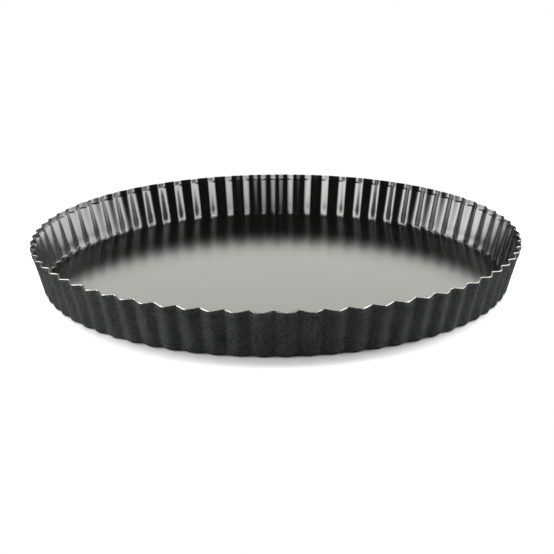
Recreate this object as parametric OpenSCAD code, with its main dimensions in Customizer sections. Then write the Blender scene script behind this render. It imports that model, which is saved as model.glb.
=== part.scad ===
// Fluted pie pan, also sold as a tart or quiche pan: one shallow round pressing of coated
// sheet steel, with a flat floor, a leaning fluted wall and a plain trimmed rim.
// The sheet is three bonded layers, and each is its own solid: the smooth release lining
// inside, the steel, whose cut edge shows at the rim, and the textured coating outside.
// Lengths are in millimetres and angles in degrees.
// The origin is the centre of the underside, and +Z is up.

/* [Pan] */
// Diameter over the flute crests at the rim
rim_d = 280; // [220:5:340]
// Height from the underside to the rim
pan_h = 26; // [20:1:45]
// Lean of the wall from upright, measured along a flute crest
wall_lean = 15; // [8:0.5:22]

/* [Flutes] */
// Number of flutes around the wall
flute_count = 72; // [48:1:84]
// Depth of a flute at the rim, from crest to cusp
flute_depth = 2.3; // [1.5:0.1:4]
// Share of that depth that a flute keeps where the wall runs down to the floor
foot_depth_share = 0.65; // [0.5:0.05:1.3]
// How straight the flanks of a flute run, where 1 is a sharp zigzag
flank_straight_share = 0.86; // [0.7:0.02:0.98]

/* [Rim band] */
// How much lower the trimmed rim stands at a crest than at a cusp
crest_dip = 0.6; // [0:0.1:1.2]
// Height of the band under the rim, measured at a cusp
band_h = 3.3; // [1.5:0.1:5]
// Lean of the band from upright
band_lean = 8; // [0:0.5:15]
// Height of the slope where the band steps in to the wall
step_h = 0.9; // [0.5:0.1:3]
// How far the band stands out from the wall at the crests
step_out = 0.65; // [0.2:0.05:1.2]
// How far the band stands out from the wall at the cusps
cusp_step_out = 0.35; // [0:0.05:0.8]

/* [Foot] */
// Outside radius of the bend from floor to wall
foot_bend_r = 2.2; // [1.2:0.1:4]

/* [Sheet] */
// Thickness of the steel
steel_t = 0.5; // [0.4:0.05:0.8]
// Thickness of the release lining inside
lining_t = 0.04; // [0.02:0.01:0.08]
// Thickness of the coating outside
coating_t = 0.05; // [0.02:0.01:0.08]

/* [Hidden] */

// Where the drawn points of one flute stand, from the cusp before it to the cusp after it
point_shares = [0.05, 0.36, 0.5, 0.64, 0.95];
// The first flute's crest stands on +X
crest_share = 0.5;
flute_points = len(point_shares);
flute_angle = 360 / flute_count;
ring_points = flute_count * flute_points;
floor_points = flute_count * 2;

rim_r = rim_d / 2;
step_foot_z = pan_h - band_h - step_h;
crest_step_r = rim_r - band_h * tan(band_lean) - step_out;
crest_foot_r = crest_step_r - step_foot_z * tan(wall_lean);
wall_depth = flute_depth - step_out + cusp_step_out;
foot_depth = flute_depth * foot_depth_share;

// How high a point stands in its flute: 0 at the cusp and 1 at the crest
function swell(share) = acos(flank_straight_share * cos(360 * share)) / 180;
cusp_swell = swell(point_shares[0]);
crest_swell = swell(crest_share);
function lift(share) = (swell(share) - cusp_swell) / (crest_swell - cusp_swell);

// The straight wall's radius where it ends above, and where it would meet the underside
function step_foot_r(up) = crest_step_r - wall_depth * (1 - up);
function wall_foot_r(up) = crest_foot_r - foot_depth * (1 - up);
function lean(up) = atan((step_foot_r(up) - wall_foot_r(up)) / step_foot_z);

// The bend follows the flutes, and so does the edge of the flat floor
function bend_reach_share(up) = tan((90 - lean(up)) / 2);
function floor_r(up) = wall_foot_r(up) - foot_bend_r * bend_reach_share(up);
function bend_point(up, turn) =
  [floor_r(up) + foot_bend_r * sin(turn), foot_bend_r * (1 - cos(turn))];

// The outside of the wall at one height in the flute, as [radius, z] from the rim to the floor
function profile(up) =
  let (cusp_in = flute_depth * (1 - up), turn = 90 - lean(up))
  [
    [rim_r - cusp_in, pan_h - crest_dip * up],
    [rim_r - band_h * tan(band_lean) - cusp_in, pan_h - band_h],
    [step_foot_r(up), step_foot_z],
    bend_point(up, turn),
    bend_point(up, turn / 2),
    [floor_r(up), 0]
  ];
floor_ring = 5;

function unit(v) = v / norm(v);
function side_of(v) = unit([-v[1], v[0]]);

// The way out of the sheet at each profile point, long enough to keep the sheet's thickness.
// At the rim it runs level, along the cut
function profile_out(up, ring) =
  let (
    line = profile(up),
    above = ring == 0 ? [1, 0] : side_of(line[ring] - line[ring - 1]),
    below = ring == floor_ring ? [0, -1] : side_of(line[ring + 1] - line[ring])
  )
  ring == 0 ? [1 / below[0], 0] : (above + below) / (1 + above * below);

// The same in plan, for one point of a ring; points are numbered on into the next flute
function plan_point(ring, i) =
  let (
    turn = floor(i / flute_points),
    share = point_shares[i - turn * flute_points],
    angle = (share + turn - crest_share) * flute_angle
  )
  profile(lift(share))[ring][0] * [cos(angle), sin(angle)];
function plan_out(ring, i) =
  let (
    before = -side_of(plan_point(ring, i) - plan_point(ring, i - 1)),
    after = -side_of(plan_point(ring, i + 1) - plan_point(ring, i))
  )
  (before + after) / (1 + before * after);

function turned(p, angle) =
  [p[0] * cos(angle) - p[1] * sin(angle), p[0] * sin(angle) + p[1] * cos(angle), p[2]];

// One flute's points in a ring, at a depth below the outside face
function flute_ring(ring, depth) = [
  for (i = [0:flute_points - 1])
    let (
      up = lift(point_shares[i]),
      out = profile_out(up, ring),
      flat = plan_point(ring, i) - depth * out[0] * plan_out(ring, i)
    )
    [flat[0], flat[1], profile(up)[ring][1] - depth * out[1]]
];
function wall_ring(ring, depth) =
  let (flute = flute_ring(ring, depth))
  [for (k = [0:flute_count - 1], p = flute) turned(p, k * flute_angle)];
// The edge of the flat floor has a point below each cusp and each crest
function floor_edge(depth) = [
  for (i = [0:floor_points - 1])
    let (up = i % 2, out = profile_out(up, floor_ring))
    turned([floor_r(up) - depth * out[0], 0, depth], (i / 2 - crest_share) * flute_angle)
];
function face_points(depth) =
  [for (ring = [0:floor_ring - 1], p = wall_ring(ring, depth)) p, for (p = floor_edge(depth)) p];
face_size = floor_ring * ring_points + floor_points;

// Triangles from ring to ring, mirrored about each crest
function band_faces(ring) = [
  for (i = [0:ring_points - 1])
    let (
      a = ring * ring_points + i,
      b = ring * ring_points + (i + 1) % ring_points,
      c = a + ring_points,
      d = b + ring_points,
      rising = point_shares[i % flute_points] < crest_share
    )
    each rising ? [[a, b, c], [b, d, c]] : [[a, b, d], [a, d, c]]
];
// Triangles from the last wall ring to the floor's edge, one flute at a time
function foot_faces() = [
  for (k = [0:flute_count - 1])
    let (
      ring = (floor_ring - 1) * ring_points,
      edge = floor_ring * ring_points,
      last = ring + (k * flute_points + ring_points - 1) % ring_points,
      p = [for (m = [0:flute_points - 1]) ring + k * flute_points + m],
      cusp = edge + 2 * k,
      crest = cusp + 1,
      next_cusp = edge + (2 * k + 2) % floor_points
    )
    each [
      [last, p[0], cusp], [p[0], p[1], cusp], [p[1], crest, cusp], [p[1], p[2], crest],
      [p[2], p[3], crest], [p[3], next_cusp, crest], [p[3], p[4], next_cusp]
    ]
];
function floor_face() = [[for (i = [0:floor_points - 1]) floor_ring * ring_points + i]];
function outside_faces() =
  [for (ring = [0:floor_ring - 2]) each band_faces(ring), each foot_faces(), each floor_face()];
function reversed(faces, shift) = [for (f = faces) [for (i = [len(f) - 1:-1:0]) f[i] + shift]];
function rim_faces() = [
  for (i = [0:ring_points - 1])
    let (j = (i + 1) % ring_points)
    each [[j, i, i + face_size], [j, i + face_size, j + face_size]]
];

// A layer of the sheet, between two depths below the outside face
module layer(outer_depth, inner_depth) {
  faces = outside_faces();
  polyhedron(
    points = concat(face_points(outer_depth), face_points(inner_depth)),
    faces = concat(faces, reversed(faces, face_size), rim_faces())
  );
}

module steel_pressing() {
  color([0.72, 0.72, 0.71])
    layer(coating_t, coating_t + steel_t);
}

module nonstick_lining() {
  color([0.16, 0.16, 0.16])
    layer(coating_t + steel_t, coating_t + steel_t + lining_t);
}

module outer_coating() {
  color([0.22, 0.23, 0.23])
    layer(0, coating_t);
}

steel_pressing();
nonstick_lining();
outer_coating();
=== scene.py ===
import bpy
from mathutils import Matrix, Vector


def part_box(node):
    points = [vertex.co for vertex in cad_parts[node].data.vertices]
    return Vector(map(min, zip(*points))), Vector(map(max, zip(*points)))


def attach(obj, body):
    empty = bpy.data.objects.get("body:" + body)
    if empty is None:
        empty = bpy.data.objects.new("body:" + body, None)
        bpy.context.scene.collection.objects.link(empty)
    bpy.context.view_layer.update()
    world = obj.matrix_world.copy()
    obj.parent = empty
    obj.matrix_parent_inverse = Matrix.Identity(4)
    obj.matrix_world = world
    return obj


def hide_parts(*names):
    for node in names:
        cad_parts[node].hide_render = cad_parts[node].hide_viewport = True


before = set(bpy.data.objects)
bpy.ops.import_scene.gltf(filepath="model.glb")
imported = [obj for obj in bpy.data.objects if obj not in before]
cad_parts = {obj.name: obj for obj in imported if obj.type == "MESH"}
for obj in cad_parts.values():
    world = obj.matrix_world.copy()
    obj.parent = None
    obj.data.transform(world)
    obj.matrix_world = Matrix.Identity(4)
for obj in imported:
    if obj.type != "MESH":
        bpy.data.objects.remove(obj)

"""A round fluted pie pan of coated sheet steel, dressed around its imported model.

The pan is one pressing with a release lining inside and a textured coating outside. Each of
the three layers is a closed shell. A half-section worked out in plain code is swept round the
axis by a geometry-node tree, which gives the wall its flutes.
Lengths are in metres and angles in radians.
"""

import logging
from dataclasses import dataclass, field
from enum import Enum
from math import atan, cos, pi, radians, sin, tan

import bpy
from mathutils import Matrix, Vector

log = logging.getLogger("pie_pan")
MM = 0.001
AXIS = Vector((0, 0, 0))
DOWN = Vector((0, 0, -1))
INWARD = Vector((-1, 0, 0))
Colour = tuple[float, float, float]
Span = tuple[float, float]
Socket = bpy.types.NodeSocket
Feed = Socket | bpy.types.Material | tuple[float, ...] | float | str


# Node trees

class NodeBoard:
    """Lays nodes in a tree and joins their sockets."""

    MIX_SOCKETS = {"FLOAT": (2, 3, 0), "VECTOR": (4, 5, 1), "RGBA": (6, 7, 2)}

    def __init__(self, tree: bpy.types.NodeTree) -> None:
        """Keeps the tree that the nodes go into."""
        self.tree = tree

    @classmethod
    def cleared(cls, owner: bpy.types.Material | bpy.types.World) -> "NodeBoard":
        """Clears the tree of a material or a world and starts on it.

        Args:
            owner: The material or the world.

        Returns:
            A board on its empty tree.
        """
        owner.use_nodes = True
        owner.node_tree.nodes.clear()
        return cls(owner.node_tree)

    def feed(self, socket: Socket, value: Feed) -> None:
        """Joins an input to another node's output, or sets its plain value.

        Args:
            socket: The input.
            value: An output, or a value of the input's kind.
        """
        if isinstance(value, Socket):
            self.tree.links.new(value, socket)
        elif socket.type == "RGBA":
            socket.default_value = (*value, 1.0)
        else:
            socket.default_value = value

    def add(
        self, kind: str, feeds: dict[str | int, Feed] | None = None, **settings: object
    ) -> bpy.types.Node:
        """Adds one node.

        Args:
            kind: The node's type.
            feeds: A value or an output for each input, by the input's name or number.
            **settings: Properties of the node itself.

        Returns:
            The new node.
        """
        node = self.tree.nodes.new(kind)
        for name, value in settings.items():
            setattr(node, name, value)
        for name, value in (feeds or {}).items():
            self.feed(node.inputs[name], value)
        return node

    def math(self, operation: str, *values: Feed) -> Socket:
        """Adds a Math node and gives its output."""
        return self.add("ShaderNodeMath", dict(enumerate(values)), operation=operation).outputs[0]

    def plus(self, first: Feed, second: Feed) -> Socket:
        """Adds two numbers."""
        return self.math("ADD", first, second)

    def minus(self, first: Feed, second: Feed) -> Socket:
        """Takes the second number from the first."""
        return self.math("SUBTRACT", first, second)

    def times(self, first: Feed, second: Feed) -> Socket:
        """Multiplies two numbers."""
        return self.math("MULTIPLY", first, second)

    def over(self, first: Feed, second: Feed) -> Socket:
        """Divides the first number by the second."""
        return self.math("DIVIDE", first, second)

    def vector(self, operation: str, feeds: dict[str | int, Feed]) -> Socket:
        """Adds a Vector Math node and gives its vector."""
        return self.add("ShaderNodeVectorMath", feeds, operation=operation).outputs["Vector"]

    def moved(self, point: Feed, way: Feed, reach: Feed) -> Socket:
        """Moves a point by a reach along a way."""
        return self.vector("ADD", {0: point, 1: self.vector("SCALE", {0: way, "Scale": reach})})

    def join(self, x: Feed, y: Feed, z: Feed) -> Socket:
        """Makes a vector of three numbers."""
        return self.add("ShaderNodeCombineXYZ", {0: x, 1: y, 2: z}).outputs[0]

    def split(self, vector: Feed) -> bpy.types.NodeOutputs:
        """Splits a vector into its three numbers."""
        return self.add("ShaderNodeSeparateXYZ", {0: vector}).outputs

    def mix(self, factor: Feed, low: Feed, high: Feed, kind: str = "FLOAT") -> Socket:
        """Blends two values.

        Args:
            factor: 0 for the first value and 1 for the second.
            low: The first value.
            high: The second value.
            kind: Which kind of value both are.

        Returns:
            The blend's output.
        """
        first, second, out = self.MIX_SOCKETS[kind]
        feeds = {0: factor, first: low, second: high}
        return self.add("ShaderNodeMix", feeds, data_type=kind).outputs[out]

    def ramp(
        self, value: Feed, low: Feed, high: Feed, to_low: Feed = 0.0, to_high: Feed = 1.0
    ) -> Socket:
        """Turns a value into a smooth step.

        Args:
            value: The value.
            low: Where the step begins.
            high: Where it ends.
            to_low: What it gives before it begins.
            to_high: What it gives after it ends.

        Returns:
            The step's output.
        """
        feeds = {
            "Value": value, "From Min": low, "From Max": high, "To Min": to_low, "To Max": to_high,
        }
        return self.add("ShaderNodeMapRange", feeds, interpolation_type="SMOOTHSTEP").outputs[0]

    def noise(self, place: Feed, scale: Feed, detail: float, roughness: float = 0.5) -> Socket:
        """Adds a noise pattern.

        Args:
            place: Where it is read.
            scale: Number of its marks along a metre.
            detail: Number of finer patterns on top.
            roughness: How much these finer patterns count.

        Returns:
            The output that holds its level, from 0 to 1.
        """
        feeds = {"Vector": place, "Scale": scale, "Detail": detail, "Roughness": roughness}
        return self.add("ShaderNodeTexNoise", feeds).outputs[0]


# Sizes and section

@dataclass(frozen=True)
class PanSizes:
    """The pressing's driving sizes, on its outside face.

    Attributes:
        rim_radius: Radius over the flute crests at the rim.
        height: Height from the underside to the rim.
        wall_lean: Lean of the wall from upright, along a crest.
        flute_count: Number of flutes round the wall.
        flute_depth: Depth of a flute at the rim.
        foot_depth_share: Share of that depth that a flute keeps at the floor.
        crest_dip: How much lower the rim stands at a crest than at a cusp.
        band_height: Height of the band under the rim.
        band_lean: Lean of the band from upright.
        step_height: Height of the slope where the band steps in to the wall.
        step_out: How far the band stands out from the wall at a crest.
        cusp_step_out: How far it stands out from the wall at a cusp.
        step_round: Radius of the turns above and below that slope.
        foot_bend_radius: Outside radius of the bend from floor to wall.
        floor_margin: Width of the flat ring inside the bend, where the floor's shading settles.
        steel: Thickness of the steel.
        lining: Thickness of the release lining.
        coating: Thickness of the coating outside.
        outer_round: How deep and how far down the cut edge is rounded outside.
        inner_round: How deep and how far down it is rounded inside.
    """

    rim_radius: float
    height: float
    wall_lean: float = radians(15)
    flute_count: int = 72
    flute_depth: float = 2.3 * MM
    foot_depth_share: float = 0.65
    crest_dip: float = 0.6 * MM
    band_height: float = 3.3 * MM
    band_lean: float = radians(8)
    step_height: float = 0.9 * MM
    step_out: float = 0.65 * MM
    cusp_step_out: float = 0.35 * MM
    step_round: float = 0.8 * MM
    foot_bend_radius: float = 2.2 * MM
    floor_margin: float = 2.0 * MM
    steel: float = 0.5 * MM
    lining: float = 0.04 * MM
    coating: float = 0.05 * MM
    outer_round: Span = (0.30 * MM, 0.50 * MM)
    inner_round: Span = (0.15 * MM, 0.15 * MM)

    @property
    def step_foot(self) -> float:
        """Height of the step's foot, where the wall begins."""
        return self.height - self.band_height - self.step_height

    @property
    def crest_step_radius(self) -> float:
        """Radius of a flute's crest at the step's foot."""
        return self.rim_radius - self.band_height * tan(self.band_lean) - self.step_out

    @property
    def wall_depth(self) -> float:
        """Depth of a flute under the step."""
        return self.flute_depth - self.step_out + self.cusp_step_out

    @property
    def steel_depth(self) -> float:
        """Depth of the steel's inner face below the outside face."""
        return self.coating + self.steel

    @property
    def full_depth(self) -> float:
        """Depth of the inside face below the outside face."""
        return self.steel_depth + self.lining


@dataclass(frozen=True)
class HalfSection:
    """The outside face in section at one place in a flute.

    Attributes:
        sizes: The pressing's sizes.
        swell: Place in the flute, 0 at a cusp and 1 at a crest.
        band_rows: Steps down the band.
        step_rows: Steps round each turn of the step.
        wall_rows: Steps down the wall.
        bend_rows: Steps round the bend at the foot.
    """

    sizes: PanSizes
    swell: float
    band_rows: int = 2
    step_rows: int = 3
    wall_rows: int = 6
    bend_rows: int = 8

    def step_foot_radius(self) -> float:
        """Radius at the step's foot."""
        return self.sizes.crest_step_radius - self.sizes.wall_depth * (1 - self.swell)

    def wall_foot_radius(self) -> float:
        """Radius at which the straight wall would meet the underside."""
        s = self.sizes
        crest = s.crest_step_radius - s.step_foot * tan(s.wall_lean)
        return crest - s.flute_depth * s.foot_depth_share * (1 - self.swell)

    def lean(self) -> float:
        """Lean of the straight wall from upright."""
        return atan((self.step_foot_radius() - self.wall_foot_radius()) / self.sizes.step_foot)

    def bend_reach(self) -> float:
        """Share of the bend's radius that the bend takes up along the floor."""
        return tan((pi / 2 - self.lean()) / 2)

    def floor_radius(self) -> float:
        """Radius at which the flat floor ends."""
        return self.wall_foot_radius() - self.sizes.foot_bend_radius * self.bend_reach()

    def line(self) -> list[Vector]:
        """Works out the section from the rim to the floor.

        Returns:
            Points with the radius in x and the height in z.
        """
        s = self.sizes
        rim_radius = s.rim_radius - s.flute_depth * (1 - self.swell)
        rim = Vector((rim_radius, 0, s.height - s.crest_dip * self.swell))
        band = Vector((rim_radius - s.band_height * tan(s.band_lean), 0, s.height - s.band_height))
        step = Vector((self.step_foot_radius(), 0, s.step_foot))
        foot = Vector((self.wall_foot_radius(), 0, 0))
        floor = Vector((self.floor_radius(), 0, 0))
        shoulder = rounded(rim, band, step, s.step_round, self.step_rows)
        notch = rounded(band, step, foot, s.step_round, self.step_rows)
        bend = rounded(step, foot, floor, s.foot_bend_radius, self.bend_rows)
        return [
            *between(rim, shoulder[0], self.band_rows),
            *shoulder,
            *notch[:-1],
            *between(notch[-1], bend[0], self.wall_rows),
            *bend,
            floor + INWARD * s.floor_margin,
        ]

    def ways(self) -> list[Vector]:
        """Works out the section's direction, which is level along the floor and upright at the rim.

        Returns:
            The direction at each of the line's points, towards the floor.
        """
        line = self.line()
        ways = [(after - before).normalized() for before, after in zip(line[:-2], line[2:])]
        return [DOWN, *ways[:-1], INWARD, INWARD]


def between(start: Vector, end: Vector, count: int) -> list[Vector]:
    """Gives count points evenly from start towards end, without end."""
    return [start.lerp(end, i / count) for i in range(count)]


def rounded(
    before: Vector, corner: Vector, after: Vector, radius: float, count: int
) -> list[Vector]:
    """Rounds a corner of a section.

    Args:
        before: The point before the corner.
        corner: The corner.
        after: The point after the corner.
        radius: Radius of the arc.
        count: Number of steps along the arc.

    Returns:
        The arc's points, both ends included.
    """
    back = (before - corner).normalized()
    ahead = (after - corner).normalized()
    half = back.angle(ahead) / 2
    centre = corner + (back + ahead).normalized() * (radius / sin(half))
    reach = radius / tan(half)
    first = (corner + back * reach - centre).normalized()
    last = (corner + ahead * reach - centre).normalized()
    return [centre + first.slerp(last, i / count) * radius for i in range(count + 1)]


class Edge(Enum):
    """The ways in which a layer ends at the rim."""

    ROUNDED = "rounded"
    SQUARE = "square"


@dataclass(frozen=True)
class SectionRow:
    """One row of a layer's closed section.

    Attributes:
        crest: Outside face at a crest.
        cusp: Outside face at a cusp.
        crest_way: Direction of the section at the crest.
        cusp_way: Direction of the section at the cusp.
        depth: How deep the row lies under the outside face.
        drop: How far the row is moved along the section.
    """

    crest: Vector
    cusp: Vector
    crest_way: Vector
    cusp_way: Vector
    depth: float
    drop: float = 0.0


@dataclass(frozen=True)
class LayerSection:
    """The closed section of one layer of the sheet, as rows for the sweep.

    Attributes:
        sizes: The pressing's sizes.
        outer_depth: Depth of the layer's outer face below the outside face.
        inner_depth: Depth of its inner face.
        edge: How it ends at the rim.
        square_drop: How far below the rim a square edge stands.
        edge_rows: Steps round each side of a rounded edge.
    """

    sizes: PanSizes
    outer_depth: float
    inner_depth: float
    edge: Edge
    square_drop: float = 0.0
    edge_rows: int = 3

    def face(self, depth: float) -> list[SectionRow]:
        """Gives the rows of one face, from just under the rim to the axis.

        Args:
            depth: How deep the face lies under the outside face.

        Returns:
            The rows, without those over the rim.
        """
        crest, cusp = HalfSection(self.sizes, 1.0), HalfSection(self.sizes, 0.0)
        points = zip(crest.line(), cusp.line(), crest.ways(), cusp.ways())
        rows = [SectionRow(*point, depth) for point in points]
        return [*rows[1:], SectionRow(AXIS, AXIS, INWARD, INWARD, depth)]

    def square_edge(self) -> list[Span]:
        """Gives the depth and the drop of each row over a square edge."""
        return [(self.outer_depth, self.square_drop), (self.inner_depth, self.square_drop)]

    def rounded_edge(self) -> list[Span]:
        """Works out the rows over a rounded edge.

        Returns:
            Each row's depth and drop, from the outer face to the inner one.
        """
        (outer_in, outer_drop), (inner_in, inner_drop) = self.sizes.outer_round, self.sizes.inner_round
        turns = [pi / 2 * i / self.edge_rows for i in range(self.edge_rows + 1)]
        outer = [(self.outer_depth + outer_in * (1 - cos(t)), outer_drop * (1 - sin(t))) for t in turns]
        inner = [(self.inner_depth - inner_in * (1 - cos(t)), inner_drop * (1 - sin(t))) for t in turns]
        return [*outer, *reversed(inner)]

    def rim(self) -> list[SectionRow]:
        """Gives the rows over the rim, from the outer face to the inner one."""
        crest, cusp = (HalfSection(self.sizes, swell).line()[0] for swell in (1.0, 0.0))
        places = self.square_edge() if self.edge is Edge.SQUARE else self.rounded_edge()
        return [SectionRow(crest, cusp, DOWN, DOWN, depth, drop) for depth, drop in places]

    def rows(self) -> list[SectionRow]:
        """Gives the whole section, from the axis over the rim and back to the axis."""
        return [*reversed(self.face(self.outer_depth)), *self.rim(), *self.face(self.inner_depth)]

    def mesh(self, name: str) -> bpy.types.Mesh:
        """Makes the section a line of points that carries its rows as attributes.

        Args:
            name: The mesh's name.

        Returns:
            The mesh, with one point for each row.
        """
        rows = self.rows()
        steps = [(i, i + 1) for i in range(len(rows) - 1)]
        mesh = bpy.data.meshes.new(name)
        mesh.from_pydata([row.crest for row in rows], steps, [])
        for key in ("crest", "cusp", "crest_way", "cusp_way"):
            numbers = [number for row in rows for number in getattr(row, key)]
            mesh.attributes.new(key, "FLOAT_VECTOR", "POINT").data.foreach_set("vector", numbers)
        for key in ("depth", "drop"):
            numbers = [getattr(row, key) for row in rows]
            mesh.attributes.new(key, "FLOAT", "POINT").data.foreach_set("value", numbers)
        return mesh


# The sweep

@dataclass(frozen=True)
class FluteRule:
    """How the flutes run round the wall.

    Attributes:
        cusp_sharpness: How sharply a flute turns at a cusp, where 1 is a corner.
        crest_sharpness: The same at a crest.
        wall_share: Share of both that the wall keeps below the rim's band.
        crowding: How closely the points crowd at both turns, from 0 to 1.
        points_per_flute: Points along one flute.
        unevenness: The most by which one flute differs from another.
        waviness: The most by which the sheet waves along a flute.
        wave_size: Length of such a wave.
        seed: Seed of both.
    """

    cusp_sharpness: float = 0.93
    crest_sharpness: float = 0.75
    wall_share: float = 0.8
    crowding: float = 0.55
    points_per_flute: int = 24
    unevenness: float = 0.12 * MM
    waviness: float = 0.11 * MM
    wave_size: float = 8.0 * MM
    seed: int = 5


@dataclass(frozen=True)
class FlutePlace:
    """Where a point of the sweep stands among the flutes, as outputs.

    Attributes:
        flute: Number of its flute, counted on past a whole turn.
        cusp: Number of the cusp before it.
        next_cusp: Number of the cusp after it.
        share: Share of the flute's width at which it stands.
    """

    flute: Socket
    cusp: Socket
    next_cusp: Socket
    share: Socket


@dataclass(frozen=True)
class Spoke:
    """A half-plane through the axis, in which points and directions are laid.

    Attributes:
        board: The board that lays the nodes.
        cosine: Cosine of the half-plane's angle.
        sine: Sine of it.
    """

    board: NodeBoard
    cosine: Socket
    sine: Socket

    def lay(self, out: Feed, up: Feed) -> Socket:
        """Lays a vector in the half-plane from its reach out and its reach up."""
        return self.board.join(self.board.times(out, self.cosine), self.board.times(out, self.sine), up)

    def cross(self, out: Feed, around: Feed, up: Feed) -> Socket:
        """Lays a vector that also crosses the half-plane.

        Args:
            out: Its reach away from the axis.
            around: Its reach round the axis.
            up: Its reach upwards.

        Returns:
            The vector's output.
        """
        board = self.board
        return board.join(
            board.minus(board.times(out, self.cosine), board.times(around, self.sine)),
            board.plus(board.times(out, self.sine), board.times(around, self.cosine)),
            up,
        )


class FlutedSweep:
    """The geometry-node tree that turns a layer's section into a fluted shell.

    It lays a flat grid with a column for each point round the pan and a row for each row of
    the section, bends it to the shell, and closes it.
    """

    INPUTS = (
        ("Section", "NodeSocketGeometry"),
        ("Flute Count", "NodeSocketInt"),
        ("Points per Flute", "NodeSocketInt"),
        ("Crowding", "NodeSocketFloat"),
        ("Cusp Sharpness", "NodeSocketFloat"),
        ("Crest Sharpness", "NodeSocketFloat"),
        ("Wall Share", "NodeSocketFloat"),
        ("Wall Top", "NodeSocketFloat"),
        ("Rim Height", "NodeSocketFloat"),
        ("Unevenness", "NodeSocketFloat"),
        ("Waviness", "NodeSocketFloat"),
        ("Wave Size", "NodeSocketFloat"),
        ("Seed", "NodeSocketInt"),
        ("Material", "NodeSocketMaterial"),
    )
    # Offsets that give the rim, the foot and the sideways slide random numbers of their own
    TOP_SERIES, FOOT_SERIES, SLIDE_SERIES = 0, 10, 20
    # The sheet lies true up to the first height and is free to wave from the second
    STILL_HEIGHT, FREE_HEIGHT = 1.5 * MM, 7.0 * MM
    # Keeps a flute's first column from being rounded down into the flute before
    COLUMN_NUDGE = 0.001
    # Points closer than this become one, which closes the seam and both poles
    MERGE_GAP = 0.002 * MM
    # Keeps an angle small where it is found from a width close to the axis
    LEAST_RADIUS = 1.0 * MM
    SHARP_ANGLE = radians(50)
    SLOPE_STEP = 0.002

    def __init__(self, name: str = "fluted_sweep") -> None:
        """Builds the tree."""
        self.tree = bpy.data.node_groups.new(name, "GeometryNodeTree")
        for label, kind in self.INPUTS:
            self.tree.interface.new_socket(label, in_out="INPUT", socket_type=kind)
        self.tree.interface.new_socket("Shell", in_out="OUTPUT", socket_type="NodeSocketGeometry")
        self.board = NodeBoard(self.tree)
        self.given = self.board.add("NodeGroupInput").outputs
        self.build()

    def identifiers(self) -> dict[str, str]:
        """Gives each named input's identifier."""
        items = self.tree.interface.items_tree
        return {item.name: item.identifier for item in items if item.in_out == "INPUT"}

    def build(self) -> None:
        """Lays the whole tree, from the section to the dressed shell."""
        board, given = self.board, self.given
        grid, column, row = self.flat_grid()
        place = self.flute_place(column)
        crest = self.section_value("crest", "FLOAT_VECTOR", row)
        cusp = self.section_value("cusp", "FLOAT_VECTOR", row)
        depth = self.section_value("depth", "FLOAT", row)
        drop = self.section_value("drop", "FLOAT", row)

        height = board.split(crest)[2]
        keep = board.ramp(height, given["Wall Top"], given["Rim Height"], given["Wall Share"], 1.0)
        low = self.turn_at(0.0, keep)
        rise = board.minus(self.turn_at(0.5, keep), low)
        swell = board.over(board.minus(self.turn_at(place.share, keep), low), rise)
        spot = board.split(board.mix(swell, cusp, crest, "VECTOR"))
        radius = board.math("MAXIMUM", spot[0], self.LEAST_RADIUS)
        pitch = board.over(2 * pi, given["Flute Count"])
        free = board.ramp(spot[2], self.STILL_HEIGHT, self.FREE_HEIGHT)
        spoke = self.spoke(place, pitch, radius, free)

        inward = board.times(self.inward(place, swell, spot[2], free), given["Unevenness"])
        base = spoke.lay(board.minus(spot[0], inward), spot[2])
        slope = board.over(self.slope(place.share, keep), rise)
        reach = board.split(board.vector("SUBTRACT", {0: crest, 1: cusp}))
        around = spoke.cross(
            board.times(reach[0], slope), board.times(pitch, radius), board.times(reach[2], slope)
        )
        along = self.along(row, swell, spoke)
        normal = board.vector("NORMALIZE", {0: board.vector("CROSS_PRODUCT", {0: along, 1: around})})

        noise = board.noise(base, board.over(1.0, given["Wave Size"]), detail=1.0)
        sink = board.times(board.times(noise, given["Waviness"]), free)
        sunk = board.moved(base, normal, board.times(board.plus(depth, sink), -1.0))
        final = board.moved(sunk, along, drop)
        shell = board.add("GeometryNodeSetPosition", {"Geometry": grid, "Position": final})
        self.put_out(shell.outputs[0])

    def flat_grid(self) -> tuple[Socket, Socket, Socket]:
        """Lays the flat grid.

        Returns:
            The grid, and the column and the row of each of its points.
        """
        board, given = self.board, self.given
        section = {0: given["Section"]}
        size = board.add("GeometryNodeAttributeDomainSize", section, component="MESH")
        rows = size.outputs["Point Count"]
        columns = board.times(given["Flute Count"], given["Points per Flute"])
        grid = board.add("GeometryNodeMeshGrid", {
            "Size X": 1.0, "Size Y": 1.0, "Vertices X": board.plus(columns, 1.0), "Vertices Y": rows,
        })
        place = board.split(board.add("GeometryNodeInputPosition").outputs[0])
        column = board.math("ROUND", board.times(board.plus(place[0], 0.5), columns))
        row = board.math("ROUND", board.times(board.plus(place[1], 0.5), board.minus(rows, 1.0)))
        return grid.outputs["Mesh"], column, row

    def flute_place(self, column: Feed) -> FlutePlace:
        """Finds the place of a column among the flutes, with the columns crowded at both turns.

        Args:
            column: The column's number.

        Returns:
            Its flute, the cusps on both sides and its share of the flute's width.
        """
        board = self.board
        count, points = self.given["Flute Count"], self.given["Points per Flute"]
        flute = board.math("FLOOR", board.over(board.plus(column, self.COLUMN_NUDGE), points))
        even = board.over(board.minus(column, board.times(flute, points)), points)
        wave = board.math("SINE", board.times(even, 4 * pi))
        crowd = board.times(wave, board.over(self.given["Crowding"], 4 * pi))
        return FlutePlace(
            flute=flute,
            cusp=board.math("MODULO", flute, count),
            next_cusp=board.math("MODULO", board.plus(flute, 1.0), count),
            share=board.minus(even, crowd),
        )

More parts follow.
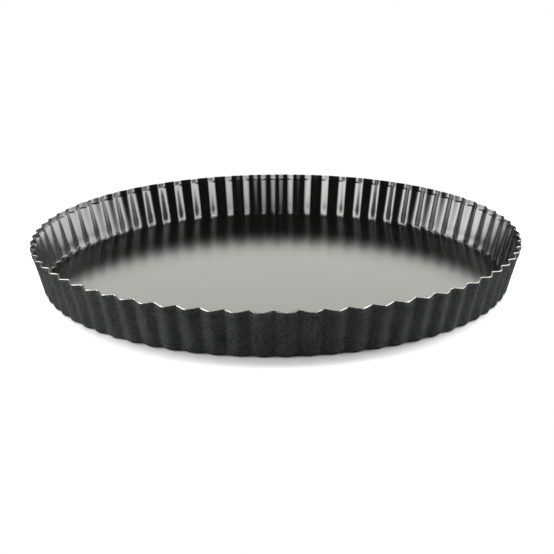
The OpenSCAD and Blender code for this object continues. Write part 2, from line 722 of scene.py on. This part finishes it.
    def section_value(self, key: str, kind: str, row: Feed) -> Socket:
        """Reads one of the section's attributes.

        Args:
            key: The attribute's name.
            kind: Its data type.
            row: The row to read it at.

        Returns:
            The output that holds its value.
        """
        named = self.board.add("GeometryNodeInputNamedAttribute", {"Name": key}, data_type=kind)
        feeds = {"Geometry": self.given["Section"], "Value": named.outputs["Attribute"], "Index": row}
        sample = self.board.add("GeometryNodeSampleIndex", feeds, data_type=kind, domain="POINT")
        return sample.outputs["Value"]

    def turn_at(self, share: Feed, keep: Feed) -> Socket:
        """Gives the height in the flute, before it is brought to 0 at a cusp and 1 at a crest.

        Args:
            share: The share of the flute's width.
            keep: How much of its sharpness the flute keeps in this row.

        Returns:
            The output that holds the height.
        """
        board, given = self.board, self.given
        wave = board.math("SINE", board.times(share, pi))
        nearness = board.times(wave, wave)
        sharpness = board.mix(nearness, given["Cusp Sharpness"], given["Crest Sharpness"])
        turn = board.math("COSINE", board.times(share, 2 * pi))
        return board.math("ARCCOSINE", board.times(board.times(sharpness, keep), turn))

    def slope(self, share: Feed, keep: Feed) -> Socket:
        """Gives how fast that height grows with the share.

        Args:
            share: The share of the flute's width.
            keep: How much of its sharpness the flute keeps in this row.

        Returns:
            The output that holds the growth.
        """
        board = self.board
        after = self.turn_at(board.plus(share, self.SLOPE_STEP), keep)
        before = self.turn_at(board.minus(share, self.SLOPE_STEP), keep)
        return board.over(board.minus(after, before), 2 * self.SLOPE_STEP)

    def spoke(self, place: FlutePlace, pitch: Feed, radius: Feed, free: Feed) -> Spoke:
        """Turns a point's place into its half-plane, with each cusp a little off its even place.

        Args:
            place: The point's place among the flutes.
            pitch: Angle from flute to flute.
            radius: Its distance from the axis.
            free: How free the sheet is at its height, from 0 to 1.

        Returns:
            The half-plane.
        """
        board = self.board
        steps = board.minus(board.plus(place.flute, place.share), 0.5)
        side = board.times(board.minus(self.blended(place, self.SLIDE_SERIES), 0.5), free)
        slide = board.over(board.times(side, self.given["Unevenness"]), radius)
        angle = board.plus(board.times(steps, pitch), slide)
        return Spoke(board, board.math("COSINE", angle), board.math("SINE", angle))

    def along(self, row: Feed, swell: Feed, spoke: Spoke) -> Socket:
        """Gives the direction down the section at a point.

        Args:
            row: The point's row.
            swell: Its place in the flute, 0 at a cusp and 1 at a crest.
            spoke: Its half-plane.

        Returns:
            The output that holds the direction.
        """
        crest_way = self.section_value("crest_way", "FLOAT_VECTOR", row)
        cusp_way = self.section_value("cusp_way", "FLOAT_VECTOR", row)
        way = self.board.split(self.board.mix(swell, cusp_way, crest_way, "VECTOR"))
        return self.board.vector("NORMALIZE", {0: spoke.lay(way[0], way[2])})

    def inward(self, place: FlutePlace, swell: Feed, height: Feed, free: Feed) -> Socket:
        """Gives how far in a point stands, which differs from flute to flute and down the wall.

        Args:
            place: The point's place among the flutes.
            swell: Its place in the flute, 0 at a cusp and 1 at a crest.
            height: Its height.
            free: How free the sheet is at that height, from 0 to 1.

        Returns:
            The output that holds it as a share of the unevenness.
        """
        board = self.board
        rise = board.ramp(height, 0.0, self.given["Rim Height"])
        foot = self.uneven(place, swell, self.FOOT_SERIES)
        top = self.uneven(place, swell, self.TOP_SERIES)
        return board.times(board.mix(rise, foot, top), free)

    def uneven(self, place: FlutePlace, swell: Feed, series: int) -> Socket:
        """Blends the random numbers of a flute's cusps into that of its crest.

        Args:
            place: The point's place among the flutes.
            swell: Its place in the flute, 0 at a cusp and 1 at a crest.
            series: Which random numbers to take.

        Returns:
            The output that holds the blend, from 0 to 1.
        """
        return self.board.mix(swell, self.blended(place, series), self.chance(place.cusp, series + 1))

    def blended(self, place: FlutePlace, series: int) -> Socket:
        """Blends the random number of the cusp before a point into that of the cusp after it."""
        step = self.board.ramp(place.share, 0.0, 1.0)
        return self.board.mix(step, self.chance(place.cusp, series), self.chance(place.next_cusp, series))

    def chance(self, number: Feed, series: int) -> Socket:
        """Gives a fixed random number for each cusp.

        Args:
            number: The cusp's number.
            series: Which random numbers to take.

        Returns:
            The output that holds it, from 0 to 1.
        """
        feeds = {"ID": number, "Seed": self.board.plus(self.given["Seed"], series)}
        node = self.board.add("FunctionNodeRandomValue", feeds, data_type="FLOAT")
        return next(out for out in node.outputs if out.type == "VALUE" and out.enabled)

    def put_out(self, shell: Socket) -> None:
        """Closes the bent grid, shades it smooth up to its sharp edges, and puts it out.

        Args:
            shell: The bent grid.
        """
        board = self.board
        merge = {"Geometry": shell, "Distance": self.MERGE_GAP}
        closed = board.add("GeometryNodeMergeByDistance", merge).outputs[0]
        bend = board.add("GeometryNodeInputMeshEdgeAngle").outputs["Unsigned Angle"]
        sharp = board.add(
            "FunctionNodeCompare", {0: bend, 1: self.SHARP_ANGLE},
            data_type="FLOAT", operation="GREATER_THAN",
        ).outputs[0]
        whole = {"Geometry": closed, "Shade Smooth": True}
        smooth = board.add("GeometryNodeSetShadeSmooth", whole, domain="FACE").outputs[0]
        edges = {"Geometry": smooth, "Selection": sharp, "Shade Smooth": False}
        creased = board.add("GeometryNodeSetShadeSmooth", edges, domain="EDGE").outputs[0]
        real = board.add("GeometryNodeRealizeInstances", {"Geometry": creased}).outputs[0]
        finish = {"Geometry": real, "Material": self.given["Material"]}
        dressed = board.add("GeometryNodeSetMaterial", finish).outputs[0]
        board.add("NodeGroupOutput", {"Shell": dressed})


# Finishes

# Levels of a noise between which a finish goes from its one look to its other
MARK_LEVELS = (0.3, 0.7)


def grain_group() -> bpy.types.NodeTree:
    """Builds the grain and blotches that both coats share.

    Returns:
        A shader group that puts out a shade and a height, each from 0 to 1.
    """
    group = bpy.data.node_groups.new("coat_grain", "ShaderNodeTree")
    for label in ("Grain Size", "Blotch Size", "Blotch Share"):
        group.interface.new_socket(label, in_out="INPUT", socket_type="NodeSocketFloat")
    for label in ("Shade", "Height"):
        group.interface.new_socket(label, in_out="OUTPUT", socket_type="NodeSocketFloat")
    board = NodeBoard(group)
    given = board.add("NodeGroupInput").outputs
    place = board.add("ShaderNodeTexCoord").outputs["Object"]
    fine = board.noise(place, board.over(1.0, given["Grain Size"]), detail=2.0, roughness=0.55)
    broad = board.noise(place, board.over(1.0, given["Blotch Size"]), detail=3.0, roughness=0.6)
    shade = board.mix(given["Blotch Share"], fine, broad)
    board.add("NodeGroupOutput", {"Shade": shade, "Height": fine})
    return group


@dataclass(frozen=True)
class CoatFinish:
    """A dark baked coat.

    Attributes:
        name: The material's name.
        dark: Colour in the grain's hollows.
        light: Colour on the grain's tops.
        smooth: Roughness where the coat is smoothest.
        rough: Roughness where it is roughest.
        ior: Index of refraction, which sets its gloss.
        grain_size: Size of a grain.
        grain_height: Height of a grain.
        blotch_size: Size of the soft blotches.
        blotch_share: How much of the shade is blotches.
        glaze: Weight of the clear top of the coat.
        glaze_roughness: Roughness of that top.
        glaze_ior: Index of refraction of that top.
    """

    name: str
    dark: Colour
    light: Colour
    smooth: float
    rough: float
    ior: float
    grain_size: float
    grain_height: float
    blotch_size: float
    blotch_share: float
    glaze: float = 0.0
    glaze_roughness: float = 0.2
    glaze_ior: float = 1.5

    def material(self, grain: bpy.types.NodeTree) -> bpy.types.Material:
        """Builds the material.

        Args:
            grain: The shader group that both coats share.

        Returns:
            The material.
        """
        material = bpy.data.materials.new(self.name)
        board = NodeBoard.cleared(material)
        marks = board.add("ShaderNodeGroup", {
            "Grain Size": self.grain_size,
            "Blotch Size": self.blotch_size,
            "Blotch Share": self.blotch_share,
        }, node_tree=grain).outputs
        relief = {"Height": marks["Height"], "Strength": 1.0, "Distance": self.grain_height}
        bump = board.add("ShaderNodeBump", relief).outputs[0]
        level = board.ramp(marks["Shade"], *MARK_LEVELS)
        shader = board.add("ShaderNodeBsdfPrincipled", {
            "Base Color": board.mix(level, self.dark, self.light, "RGBA"),
            "Roughness": board.ramp(marks["Shade"], *MARK_LEVELS, self.smooth, self.rough),
            "IOR": self.ior,
            "Coat Weight": self.glaze,
            "Coat Roughness": self.glaze_roughness,
            "Coat IOR": self.glaze_ior,
            "Normal": bump,
            "Coat Normal": bump,
        })
        board.add("ShaderNodeOutputMaterial", {"Surface": shader.outputs[0]})
        return material


@dataclass(frozen=True)
class CutSteelFinish:
    """Bare sheet steel, with the fine shear marks that its cut edge shows.

    Attributes:
        name: The material's name.
        dark: Colour in the marks.
        light: Colour between them.
        smooth: Roughness between the marks.
        rough: Roughness in them.
        mark_size: Length of a mark.
        mark_height: Height of a mark.
    """

    name: str = "cut_steel"
    dark: Colour = (0.46, 0.46, 0.45)
    light: Colour = (0.66, 0.66, 0.65)
    smooth: float = 0.16
    rough: float = 0.3
    mark_size: float = 0.25 * MM
    mark_height: float = 0.004 * MM

    def material(self) -> bpy.types.Material:
        """Builds the material."""
        material = bpy.data.materials.new(self.name)
        board = NodeBoard.cleared(material)
        place = board.add("ShaderNodeTexCoord").outputs["Object"]
        marks = board.noise(place, 1.0 / self.mark_size, detail=3.0, roughness=0.6)
        relief = {"Height": marks, "Strength": 1.0, "Distance": self.mark_height}
        level = board.ramp(marks, *MARK_LEVELS)
        shader = board.add("ShaderNodeBsdfPrincipled", {
            "Base Color": board.mix(level, self.dark, self.light, "RGBA"),
            "Roughness": board.ramp(marks, *MARK_LEVELS, self.rough, self.smooth),
            "Metallic": 1.0,
            "Normal": board.add("ShaderNodeBump", relief).outputs[0],
        })
        board.add("ShaderNodeOutputMaterial", {"Surface": shader.outputs[0]})
        return material


# The layers

@dataclass
class SheetLayer:
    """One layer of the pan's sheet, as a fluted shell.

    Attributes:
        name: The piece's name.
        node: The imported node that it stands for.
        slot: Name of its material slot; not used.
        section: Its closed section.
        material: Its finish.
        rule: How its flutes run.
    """

    name: str
    node: str
    slot: str
    section: LayerSection
    material: bpy.types.Material
    rule: FluteRule = field(default_factory=FluteRule)

    def settings(self) -> dict[str, Feed]:
        """Gives the sweep's inputs by their names."""
        return {
            "Flute Count": self.section.sizes.flute_count,
            "Points per Flute": self.rule.points_per_flute,
            "Crowding": self.rule.crowding,
            "Cusp Sharpness": self.rule.cusp_sharpness,
            "Crest Sharpness": self.rule.crest_sharpness,
            "Wall Share": self.rule.wall_share,
            "Wall Top": self.section.sizes.step_foot,
            "Rim Height": self.section.sizes.height,
            "Unevenness": self.rule.unevenness,
            "Waviness": self.rule.waviness,
            "Wave Size": self.rule.wave_size,
            "Seed": self.rule.seed,
            "Material": self.material,
        }

    def build(self, sweep: FlutedSweep) -> bpy.types.Object:
        """Sweeps the section into a plain mesh and puts it in the frame.

        Args:
            sweep: The tree that sweeps a section.

        Returns:
            The finished piece.
        """
        piece = bpy.data.objects.new(self.name, self.section.mesh(self.name + "_section"))
        bpy.context.scene.collection.objects.link(piece)
        modifier = piece.modifiers.new("sweep", "NODES")
        modifier.node_group = sweep.tree
        identifiers = sweep.identifiers()
        for label, value in self.settings().items():
            modifier[identifiers[label]] = value
        piece.update_tag()
        depsgraph = bpy.context.evaluated_depsgraph_get()
        swept = piece.evaluated_get(depsgraph)
        mesh = bpy.data.meshes.new_from_object(swept, depsgraph=depsgraph)
        piece.modifiers.remove(modifier)
        piece.data = mesh
        mesh.name = self.name
        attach(piece, "root")
        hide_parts(self.node)
        log.info("%s: %d points, %d faces", self.name, len(mesh.vertices), len(mesh.polygons))
        return piece


@dataclass
class FlutedPan:
    """The whole pan: the steel and its two coats.

    Attributes:
        sizes: The pressing's sizes.
        lining: Finish of the release lining inside.
        coating: Finish of the textured coating outside.
        steel: Finish of the steel.
    """

    sizes: PanSizes
    lining: CoatFinish = CoatFinish(
        name="release_lining",
        dark=(0.003, 0.003, 0.003),
        light=(0.006, 0.006, 0.0055),
        smooth=0.20,
        rough=0.26,
        ior=1.25,
        grain_size=0.7 * MM,
        grain_height=0.0004 * MM,
        blotch_size=18.0 * MM,
        blotch_share=0.35,
        glaze=1.0,
        glaze_roughness=0.17,
        glaze_ior=2.3,
    )
    coating: CoatFinish = CoatFinish(
        name="outer_coat",
        dark=(0.012, 0.013, 0.013),
        light=(0.185, 0.195, 0.190),
        smooth=0.34,
        rough=0.48,
        ior=2.3,
        grain_size=1.0 * MM,
        grain_height=0.12 * MM,
        blotch_size=8.0 * MM,
        blotch_share=0.25,
    )
    steel: CutSteelFinish = CutSteelFinish()

    def layers(self) -> list[SheetLayer]:
        """Sets out the layers.

        Returns:
            The lining, the steel and the coating.
        """
        s = self.sizes
        grain = grain_group()
        return [
            SheetLayer(
                name="release_lining",
                node="nonstick_lining",
                slot="lining",
                section=LayerSection(s, s.steel_depth, s.full_depth, Edge.SQUARE, s.inner_round[1]),
                material=self.lining.material(grain),
            ),
            SheetLayer(
                name="steel_sheet",
                node="steel_pressing",
                slot="steel",
                section=LayerSection(s, s.coating, s.steel_depth, Edge.ROUNDED),
                material=self.steel.material(),
            ),
            SheetLayer(
                name="textured_coat",
                node="outer_coating",
                slot="coating",
                section=LayerSection(s, 0.0, s.coating, Edge.SQUARE, s.outer_round[1]),
                material=self.coating.material(grain),
            ),
        ]

    def build(self) -> list[bpy.types.Object]:
        """Builds the three layers."""
        sweep = FlutedSweep()
        return [layer.build(sweep) for layer in self.layers()]


# Studio

@dataclass(frozen=True)
class Softbox:
    """A soft light panel that stands round the pan and faces it.

    Attributes:
        name: Its name.
        azimuth: Where it stands, from the camera's side towards +X.
        distance: How far it stands from the pan's axis.
        centre_height: Height of its middle.
        width: Its width.
        height: Its height.
        strength: Its brightness, where white is 1.
        side_fade_share: Share of its width over which it fades at each side.
        top_fade_share: Share of its height over which it fades at the top and the bottom.
    """

    CORNERS = ((-1, -1), (1, -1), (1, 1), (-1, 1))

    name: str
    azimuth: float
    distance: float
    centre_height: float
    width: float
    height: float
    strength: float
    side_fade_share: float
    top_fade_share: float = 0.25

    def build(self) -> bpy.types.Object:
        """Makes the panel, which lights the pan but isn't seen by the camera.

        Returns:
            The panel.
        """
        outward = Vector((sin(self.azimuth), -cos(self.azimuth), 0))
        centre = outward * self.distance + Vector((0, 0, self.centre_height))
        side = Vector((cos(self.azimuth), sin(self.azimuth), 0))
        up = side.cross(centre.normalized()).normalized()
        half_side, half_up = side * (self.width / 2), up * (self.height / 2)
        corners = [centre + half_side * x + half_up * y for x, y in self.CORNERS]
        mesh = bpy.data.meshes.new(self.name)
        mesh.from_pydata(corners, [], [(0, 1, 2, 3)])
        uv = mesh.uv_layers.new(name="UVMap")
        uv.data.foreach_set("uv", [(place + 1) / 2 for corner in self.CORNERS for place in corner])
        mesh.materials.append(self.material())
        panel = bpy.data.objects.new(self.name, mesh)
        bpy.context.scene.collection.objects.link(panel)
        panel.visible_camera = False
        return panel

    def material(self) -> bpy.types.Material:
        """Builds a glow that fades towards the panel's edges.

        Returns:
            The material.
        """
        material = bpy.data.materials.new(self.name)
        board = NodeBoard.cleared(material)
        place = board.split(board.add("ShaderNodeTexCoord").outputs["UV"])
        fades = []
        for axis, share in enumerate((self.side_fade_share, self.top_fade_share)):
            inward = board.minus(0.5, board.math("ABSOLUTE", board.minus(place[axis], 0.5)))
            fades.append(board.ramp(inward, 0.0, share))
        strength = board.times(board.times(*fades), self.strength)
        glow = board.add("ShaderNodeEmission", {"Strength": strength})
        board.add("ShaderNodeOutputMaterial", {"Surface": glow.outputs[0]})
        return material


@dataclass(frozen=True)
class WhiteFloor:
    """The floor: white to the camera, dull to the pan, and clear from below.

    Attributes:
        radius: Its radius.
        sides: Number of its corners.
        gap: How far below the pan it lies.
        albedo: How much light it gives back to the pan.
        gain: How much it seems to give back to the camera.
        plain: Distances from the axis between which its shadows fade into plain white.
    """

    radius: float = 4.0
    sides: int = 96
    gap: float = 0.05 * MM
    albedo: float = 0.10
    gain: float = 2.3
    plain: Span = (0.165, 0.23)

    def build(self) -> bpy.types.Object:
        """Lays the floor.

        Returns:
            The floor.
        """
        angles = [2 * pi * i / self.sides for i in range(self.sides)]
        points = [(self.radius * cos(angle), self.radius * sin(angle), -self.gap) for angle in angles]
        mesh = bpy.data.meshes.new("floor")
        mesh.from_pydata(points, [], [tuple(range(self.sides))])
        mesh.materials.append(self.material())
        floor = bpy.data.objects.new("floor", mesh)
        bpy.context.scene.collection.objects.link(floor)
        return floor

    def material(self) -> bpy.types.Material:
        """Builds its finish.

        Returns:
            The material.
        """
        material = bpy.data.materials.new("white_floor")
        board = NodeBoard.cleared(material)
        seen = board.add("ShaderNodeLightPath").outputs["Is Camera Ray"]
        level = board.mix(seen, self.albedo, self.gain)
        dull = board.add("ShaderNodeBsdfDiffuse", {"Color": board.join(level, level, level)})
        place = board.add("ShaderNodeTexCoord").outputs["Object"]
        reach = board.add("ShaderNodeVectorMath", {0: place}, operation="LENGTH").outputs["Value"]
        plain = board.times(board.ramp(reach, *self.plain), seen)
        white = board.add("ShaderNodeEmission", {"Strength": 1.0})
        sides = {0: plain, 1: dull.outputs[0], 2: white.outputs[0]}
        above = board.add("ShaderNodeMixShader", sides)
        below = board.add("ShaderNodeNewGeometry").outputs["Backfacing"]
        clear = board.add("ShaderNodeBsdfTransparent")
        both = {0: below, 1: above.outputs[0], 2: clear.outputs[0]}
        shader = board.add("ShaderNodeMixShader", both)
        board.add("ShaderNodeOutputMaterial", {"Surface": shader.outputs[0]})
        return material


@dataclass(frozen=True)
class Backdrop:
    """The room: white to the camera, and a bright band behind the pan for it to mirror.

    The spans are parts of a view direction of length 1.

    Attributes:
        dim: Brightness of the rest of the room.
        level: Brightness of the band.
        colour: Colour of the room.
        depth: Reach along +Y between which the band fades in from the sides.
        foot: Height between which it fades in from below.
        top: Height between which it fades in from above.
    """

    dim: float = 0.02
    level: float = 1.42
    colour: Colour = (1.0, 1.0, 0.93)
    depth: Span = (0.78, 0.92)
    foot: Span = (0.184, 0.249)
    top: Span = (0.5, 0.35)

    def build(self) -> None:
        """Makes it the scene's world."""
        world = bpy.data.worlds.new("studio")
        bpy.context.scene.world = world
        board = NodeBoard.cleared(world)
        seen = board.add("ShaderNodeLightPath").outputs["Is Camera Ray"]
        way = board.split(board.add("ShaderNodeTexCoord").outputs["Generated"])
        band = board.times(board.ramp(way[1], *self.depth), board.ramp(way[2], *self.top))
        band = board.times(band, board.ramp(way[2], *self.foot))
        level = board.mix(seen, board.mix(band, self.dim, self.level), 1.0)
        colour = board.mix(seen, self.colour, (1.0, 1.0, 1.0), "RGBA")
        back = board.add("ShaderNodeBackground", {"Color": colour, "Strength": level})
        board.add("ShaderNodeOutputWorld", {"Surface": back.outputs[0]})


@dataclass(frozen=True)
class Viewpoint:
    """The photograph's viewpoint, fitted to the pan's rim, foot and underside.

    Attributes:
        azimuth: How far it stands round the pan from -Y, towards +X.
        distance: Its distance from the pan's axis.
        side_step: How far it stands to its own right.
        height: Its height.
        pitch: How far it looks down.
        roll: How far it is turned about its view.
        lens: Its focal length, in millimetres.
        sensor: Width of its sensor, in millimetres.
    """

    azimuth: float = -0.03618
    distance: float = 0.70478
    side_step: float = 0.00055
    height: float = 0.2292
    pitch: float = 0.31739
    roll: float = 0.0076
    lens: float = 82.626
    sensor: float = 36.0

    def build(self) -> bpy.types.Object:
        """Sets the camera there.

        Returns:
            The camera.
        """
        data = bpy.data.cameras.new("camera")
        data.lens = self.lens
        data.sensor_width = self.sensor
        camera = bpy.data.objects.new("camera", data)
        bpy.context.scene.collection.objects.link(camera)
        level = Vector((-sin(self.azimuth), cos(self.azimuth), 0))
        ahead = level * cos(self.pitch) + DOWN * sin(self.pitch)
        right = Vector((cos(self.azimuth), sin(self.azimuth), 0))
        up = right.cross(ahead)
        rolled_right = right * cos(self.roll) - up * sin(self.roll)
        rolled_up = up * cos(self.roll) + right * sin(self.roll)
        turned = Matrix((rolled_right, rolled_up, -ahead)).transposed()
        place = right * self.side_step - level * self.distance - DOWN * self.height
        camera.matrix_world = Matrix.Translation(place) @ turned.to_4x4()
        bpy.context.scene.camera = camera
        return camera


@dataclass(frozen=True)
class Studio:
    """A white floor and backdrop, soft lights and the camera.

    Attributes:
        floor: The floor.
        backdrop: The room.
        viewpoint: Where the camera stands.
        softboxes: The light panels: one low at each side, and one high behind on each side.
    """

    floor: WhiteFloor = WhiteFloor()
    backdrop: Backdrop = Backdrop()
    viewpoint: Viewpoint = Viewpoint()
    softboxes: tuple[Softbox, ...] = (
        Softbox(
            name="left_softbox", azimuth=radians(-79), distance=1.1, centre_height=0.24,
            width=2.0, height=1.0, strength=4.0, side_fade_share=0.5,
        ),
        Softbox(
            name="right_softbox", azimuth=radians(91), distance=1.1, centre_height=0.24,
            width=3.1, height=1.0, strength=3.1, side_fade_share=0.42,
        ),
        Softbox(
            name="left_top_softbox", azimuth=radians(-114), distance=0.72, centre_height=1.10,
            width=0.9, height=0.60, strength=7.0, side_fade_share=0.35,
        ),
        Softbox(
            name="right_top_softbox", azimuth=radians(114), distance=0.72, centre_height=1.10,
            width=0.9, height=0.60, strength=7.0, side_fade_share=0.35,
        ),
    )

    def build(self) -> None:
        """Sets the whole studio up."""
        self.floor.build()
        self.backdrop.build()
        self.viewpoint.build()
        for softbox in self.softboxes:
            softbox.build()
        bpy.context.scene.view_settings.view_transform = "Standard"


def main() -> None:
    """Builds the pan and its studio."""
    logging.basicConfig(level=logging.INFO, format="%(name)s: %(message)s")
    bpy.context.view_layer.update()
    low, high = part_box("outer_coating")
    pan = FlutedPan(PanSizes(rim_radius=(high.x - low.x) / 2, height=high.z - low.z))
    pan.build()
    Studio().build()


if __name__ == "__main__":
    main()
